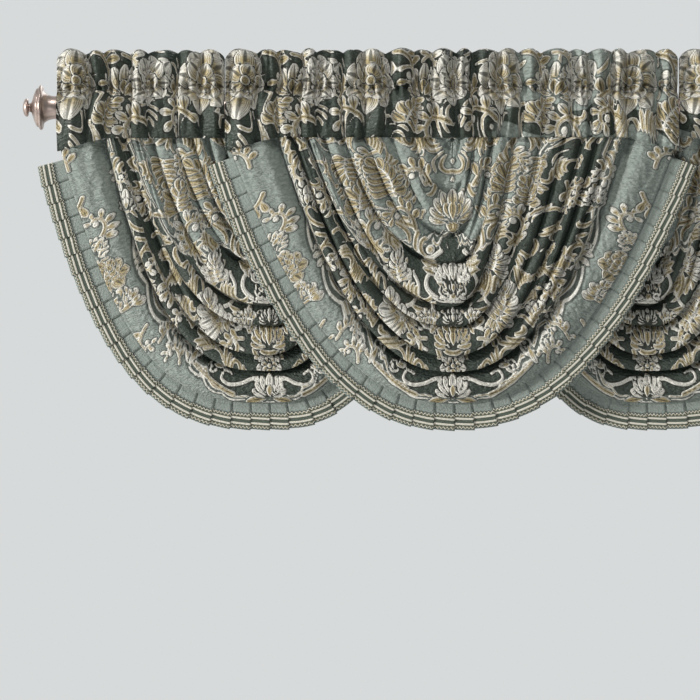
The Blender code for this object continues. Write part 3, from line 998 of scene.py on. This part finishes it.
# The front of a heading's cross-section from the top fold down to the seam: height, distance
# from the rod's axis plane, and the shares of the ruffle's and of the pocket's puffs.
Ring = namedtuple("Ring", "height away ruffle pocket")
RINGS = (
    Ring(0.0752, 0.0002, 0.80, 0.0),
    Ring(0.0735, 0.0022, 0.95, 0.0),
    Ring(0.0640, 0.0034, 1.10, 0.0),
    Ring(0.0520, 0.0036, 1.00, 0.0),
    Ring(0.0400, 0.0034, 0.80, 0.0),
    Ring(0.0290, 0.0030, 0.55, 0.0),
    Ring(0.0215, 0.0042, 0.42, 0.10),
    Ring(0.0140, 0.0088, 0.24, 0.45),
    Ring(0.0060, 0.0130, 0.08, 0.85),
    Ring(-0.0040, 0.0142, 0.00, 1.05),
    Ring(-0.0150, 0.0118, 0.00, 1.10),
    Ring(-0.0270, 0.0070, 0.00, 0.90),
    Ring(-0.0395, 0.0000, 0.00, 0.55),
)
RING_KNOTS = np.linspace(0, 1, len(RINGS))

# The faces of a heading: the way each one puffs, how full it is beside the front, and how far
# the row of stitches above the pocket draws it in.
Face = namedtuple("Face", "side full recess")
FRONT = Face(-1.0, 1.0, 0.0045)
BACK = Face(1.0, 0.6, 0.0)
RUFFLE_PUFF = 0.0170
POCKET_PUFF = 0.0185
END_ROUND = 0.014
ROD_CLEARANCE = ROD_RADIUS + 0.0009


def gather_creases(heading, swag):
    """The creases between a heading's gathers, as the solids have them."""
    corners = [
        swag.middle - swag.left * LEVEL_SHARE,
        swag.middle + swag.right * LEVEL_SHARE,
    ]
    knots = [x for x in corners if heading.start < x < heading.end] + [heading.end]
    creases = [heading.start]
    for knot in knots:
        start, first = creases[-1], len(creases)
        count = round((knot - start) / GATHER_WIDTH)
        widths = [GATHER_SHARES[(first + i) % len(GATHER_SHARES)] for i in range(count)]
        for passed in range(1, count):
            creases.append(start + (knot - start) * sum(widths[:passed]) / sum(widths))
        creases.append(knot)
    return np.array(creases)


def gathers(heading, swag, x, down):
    """How far each point is puffed out, from 0 in a crease to 1, and the number of creases
    passed there with the share of the way to the next."""
    creases = gather_creases(heading, swag)
    wander = 0.0075 * wobble(x * 9.0, down * 1.3, 31) * np.sin(math.pi * down)
    moved = x + wander * smooth((x - creases[0]) / 0.02) * smooth((creases[-1] - x) / 0.02)
    number = np.interp(moved, creases, np.arange(len(creases)))
    phase = number - np.floor(number)
    nearness = np.minimum(phase, 1 - phase)
    puff = np.sin(math.pi * phase) ** 0.95 - 0.25 * np.exp(-((nearness / 0.10) ** 2))
    finer = 0.71 * number + 0.35 * wobble(x * 12, down * 1.1, 35)
    return 0.70 * puff + 0.30 * np.abs(np.sin(math.pi * finer)) ** 0.8, number


def heading_height(swag, x, down, level, puff, end):
    """The height of each point, with an uneven top that rounds off at both ends."""
    near_end = np.clip(1 - end / END_ROUND, 0, 1)
    top = 0.0022 * wobble(x * 30, 0.0, 33) - 0.0045 * (1 - puff)
    top = top - 0.0085 * (1 - np.sqrt(1 - near_end**2))
    reach = np.where(x < swag.middle, swag.left, swag.right)
    seam = seam_height(x - swag.middle, reach) - SEAM_HEIGHT
    return level + top * (1 - down) ** 3 + seam * smooth((down - 0.55) / 0.45)


def heading_surface(heading, swag, x, down, face):
    """Points of a heading's cloth on one face, where down runs from 0 at the top fold to 1 at
    the seam, and the gathers passed at each point."""
    puff, number = gathers(heading, swag, x, down)
    level, away, ruffle, pocket = (np.interp(down, RING_KNOTS, row) for row in zip(*RINGS))
    pinch = np.exp(-(((down - 0.47) / 0.10) ** 2))
    vary = 1.0 + 0.55 * wobble(number * 1.3, down * 1.8, 32)
    end = np.minimum(x - heading.start, heading.end - x)
    flat_end = smooth(end / 0.012)
    height = heading_height(swag, x, down, level, puff, end)

    corner = heading.front if face is FRONT else heading.back
    swell = POCKET_PUFF * vary * face.full * np.maximum(puff, 0.04) * pocket
    wave = 1 - 2 * puff
    wave = RUFFLE_PUFF * vary * np.where(wave > 0, 0.32 * wave, wave) * ruffle
    fine = np.sin(math.tau * (2.6 * number + 0.5 * np.sin(1.7 * number)))
    creased = 0.0015 * fine * (0.40 + 3.0 * pinch) * smooth(down / 0.15)
    dent = crumple(x * 85, down * 8.0, 36) * (0.0012 + 0.0016 * pinch) * smooth(down / 0.1)
    dent = dent + 0.0012 * wobble(x * 38, down * 3.4, 34)
    depth = corner * smooth((down - 0.68) / 0.32) + wave * lerp(0.4, 1.0, flat_end)
    depth = depth + face.side * (away + swell * lerp(0.35, 1.0, flat_end))
    depth = depth + creased + dent + face.recess * pinch
    clear = np.sqrt(np.maximum(ROD_CLEARANCE**2 - height**2, 0.0))
    away = face.side * depth
    depth = face.side * np.where(clear > 0, np.maximum(away, clear), away)
    return np.stack([x, depth, height], axis=-1), number


# The motifs of the gathered headings, repeated along the cloth: millimetres across and down
# the cloth, and the rest as for the swags. Half as much cloth again hides in the gathers.
CLOTH_REPEAT = 260.0
CLOTH_HEIGHT = 128.0
HIDDEN_SHARE = 0.5
HEADING_MOTIFS = (
    Motif(52, 48, "bloom", 50, 0.2, 1, 0.60),
    Motif(30, 108, "acanthus", 44, -0.9, -1, 0.5),
    Motif(98, 12, "acanthus", 44, 1.9, 1, 0.8),
    Motif(112, 112, "spray", 50, 0.4, 1, 0.7),
    Motif(152, 74, "palmette", 52, 0.4, 1, 0.6),
    Motif(150, 14, "acanthus", 34, 1.7, 1, 0.4),
    Motif(208, 50, "bloom", 40, 0.9, 1, 0.5),
    Motif(196, 112, "acanthus", 42, -1.2, -1, 0.5),
    Motif(240, 84, "acanthus", 46, 0.6, 1, 0.7),
)


def heading_fields(heading, places, number, down):
    """The pattern's fields at each point of one side of a heading."""
    random = np.random.default_rng(41)
    hidden = np.concatenate([[0.0], np.cumsum(random.uniform(0.6, 1.4, 40))])
    nearest = np.round(number).astype(int)
    before = hidden[np.maximum(nearest - 1, 0)]
    passed = before + (hidden[nearest] - before) * smooth((number - nearest) / 0.36 + 0.5)
    x = places[..., 0]
    across = (x - heading.start + passed * HIDDEN_SHARE * GATHER_WIDTH) * 1000
    below = down * CLOTH_HEIGHT
    pattern = Damask(across, below)
    past_turn = heading.turn_sign * (x - heading.turn_at)
    pattern.flow(52, 13.0, 6.5, lerp(0.60, 0.90, smooth(past_turn / 0.03)))
    for repeat in range(int(across.max() / CLOTH_REPEAT) + 2):
        for motif in HEADING_MOTIFS:
            centre = (motif.across + (repeat - 0.1) * CLOTH_REPEAT, motif.down)
            lay_motif(pattern, centre, motif)
    low_patch = 14.0 - np.abs(below - 104.0) + 8 * np.sin(across / 23.0)
    ground = np.maximum(10 * np.sin(below / 11.0) - past_turn * 1000, low_patch)
    return pattern.fields(ground, across)


def make_heading(heading, swag, material):
    """One loop of gathered cloth: down its front from the top fold, and up its back."""
    x = np.linspace(heading.start, heading.end, heading.columns + 1)
    down_front, up_back = np.linspace(0, 1, 64), np.linspace(1, 0, 16)[:-1]
    parts = []
    for down, face in ((down_front, FRONT), (up_back, BACK)):
        grid_x, grid_down = np.meshgrid(x, down)
        places, number = heading_surface(heading, swag, grid_x, grid_down, face)
        parts.append((places, heading_fields(heading, places, number, grid_down)))
    places = np.concatenate([part[0] for part in parts])
    fields = {key: np.concatenate([part[1][key] for part in parts]) for key in parts[0][1]}
    made = sheet_mesh(f"heading_cloth_{heading.name}", places, material, fields, closed=True)
    thicken(made)
    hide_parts(f"heading_{heading.name}")
    return made


# Finials and rod

# The finial's outline in millimetres: how far each point lies out from the heading's end, and
# its radius. The socket inside holds the rod's end.
FINIAL_OUTLINE = (
    (0.0, 14.8), (4.0, 14.9), (10.0, 16.3), (15.0, 19.2), (17.2, 22.5), (17.8, 26.2),
    (18.5, 28.0), (19.6, 28.9), (21.0, 28.8), (22.2, 27.4), (22.9, 25.4), (23.4, 24.9),
    (24.3, 25.1), (25.4, 24.7), (26.2, 23.2), (27.2, 21.4), (29.2, 16.5), (30.8, 11.5),
    (32.2, 7.4), (33.8, 5.7), (35.4, 5.6), (36.2, 7.4), (36.8, 10.4), (38.0, 11.7),
    (39.8, 11.5), (41.6, 9.7), (43.0, 6.4), (43.8, 2.6), (44.0, 0.0),
)
SOCKET_OUTLINE = ((14.0, 0.0), (14.0, 13.1), (0.0, 13.1))
FINIAL_GAP = 0.0003


def turned_mesh(name, outline, side, steps, material):
    """A piece spun about the rod's axis, from an outline that goes out towards side."""
    turn = np.linspace(0, math.tau, steps + 1)
    along, radius = outline[:, :1], outline[:, 1:]
    along = np.broadcast_to(along, (len(outline), steps + 1))
    around = [-side * radius * np.cos(turn), radius * np.sin(turn)]
    places = np.stack([along, *around], axis=-1)
    made = sheet_mesh(name, places, material, {})
    weld(made)
    made.data.set_sharp_from_angle(angle=math.radians(50))
    return made


def make_finial(name, start, side, material):
    """A turned finial, its outline smoothed."""
    outline = spline(np.array(FINIAL_OUTLINE), 3)
    outline = np.concatenate([SOCKET_OUTLINE, np.maximum(outline, 0.0)]) / 1000
    outline[:, 0] = start + side * outline[:, 0]
    made = turned_mesh(f"finial_turned_{name}", outline, side, 72, material)
    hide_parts(f"finial_{name}")
    return made


def make_rod(material):
    """The plain rod, with the ends that its solid has."""
    low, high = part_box("rod")
    ends = ((low[0], 0.0), (low[0], ROD_RADIUS), (high[0], ROD_RADIUS), (high[0], 0.0))
    made = turned_mesh("rod_tube", np.array(ends), 1.0, 64, material)
    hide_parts("rod")
    return made


# Scene

# The soft round lights of the studio
Light = namedtuple("Light", "name place size power colour")
LIGHTS = (
    Light("key", (-0.30, -1.30, 1.90), 0.45, 27, (1.0, 0.98, 0.95)),
    Light("side", (-6.00, -2.20, 0.70), 0.80, 490, (1.0, 0.98, 0.95)),
    Light("fill", (0.7, -2.8, -0.9), 1.2, 8, (0.97, 0.99, 1.0)),
    Light("back", (0.6, 2.2, 1.2), 1.6, 20, (1.0, 0.99, 0.97)),
)
LIT_PLACE = (0.0, 0.0, -0.15)
FLOOR_BELOW = 2.0
FLOOR_HALF = 10.0


def make_camera():
    data = bpy.data.cameras.new("camera")
    data.sensor_width = SENSOR_WIDTH
    data.lens = SENSOR_WIDTH * CAMERA_DISTANCE / PHOTO_WIDTH
    camera = bpy.data.objects.new("camera", data)
    camera.location = (PHOTO_MIDDLE[0], -CAMERA_DISTANCE, PHOTO_MIDDLE[1])
    camera.rotation_euler = (math.pi / 2, 0, 0)
    bpy.context.scene.collection.objects.link(camera)
    bpy.context.scene.camera = camera


def make_light(light):
    data = bpy.data.lights.new(light.name, "AREA")
    data.shape = "DISK"
    data.size = light.size
    data.energy = light.power
    data.color = light.colour
    made = bpy.data.objects.new(light.name, data)
    made.location = light.place
    x, y, z = np.array(LIT_PLACE) - np.array(light.place)
    made.rotation_euler = (math.atan2(math.hypot(x, y), -z), 0, math.atan2(y, x) - math.pi / 2)
    bpy.context.scene.collection.objects.link(made)


def make_floor():
    """A plain pale floor well below the hanging cloth."""
    mesh = bpy.data.meshes.new("floor")
    low = cad_box[0][2] - FLOOR_BELOW
    ends = (-FLOOR_HALF, FLOOR_HALF)
    mesh.from_pydata([(x, y, low) for x in ends for y in ends], [], [(0, 2, 3, 1)])
    n = new_material("floor", Roughness=0.9)
    n.set("Base Color", FLOOR)
    mesh.materials.append(n.made)
    floor = bpy.data.objects.new("floor", mesh)
    bpy.context.scene.collection.objects.link(floor)


def make_surrounding():
    """Soft light all round, paler behind the cloth than on the room's side."""
    n = Nodes(bpy.data.worlds.new("studio"), "Background", Color=(0.97, 1.0, 1.0, 1))
    place = n.node("ShaderNodeTexCoord", "Generated")
    inputs = {0: n.node("ShaderNodeSeparateXYZ", "Y", {0: place}), 1: -0.3, 2: 0.5, 3: 0.16, 4: 0.70}
    n.set("Strength", n.node("ShaderNodeMapRange", 0, inputs, interpolation_type="SMOOTHSTEP"))
    bpy.context.scene.world = n.made
    bpy.context.scene.view_settings.view_transform = "Standard"


def make_swag_pieces(swag, damask, frill_cloth, braid):
    """One swag's cloth, frill and braid."""
    cloth = make_swag(swag, damask)
    frill = make_frill(swag, frill_cloth)
    strip = make_braid(swag, braid)
    length = edge_length(swag)
    return [cloth, frill, strip]


def make_heading_piece(heading, swag, damask):
    """One heading."""
    cloth = make_heading(heading, swag, damask)
    return cloth


def main():
    make_camera()
    damask = damask_material()
    frill_cloth = frill_material()
    braid = braid_material()
    metal = metal_material()
    pieces = []
    for swag in SWAGS:
        pieces += make_swag_pieces(swag, damask, frill_cloth, braid)
    for heading, swag in zip(HEADINGS, SWAGS):
        pieces.append(make_heading_piece(heading, swag, damask))
    start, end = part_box("heading_left")[0][0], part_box("heading_right")[1][0]
    pieces.append(make_finial("left", start - FINIAL_GAP, -1.0, metal))
    pieces.append(make_finial("right", end + FINIAL_GAP, 1.0, metal))
    pieces.append(make_rod(metal))
    for piece in pieces:
        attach(piece, "root")
    make_floor()
    for light in LIGHTS:
        make_light(light)
    make_surrounding()


main()
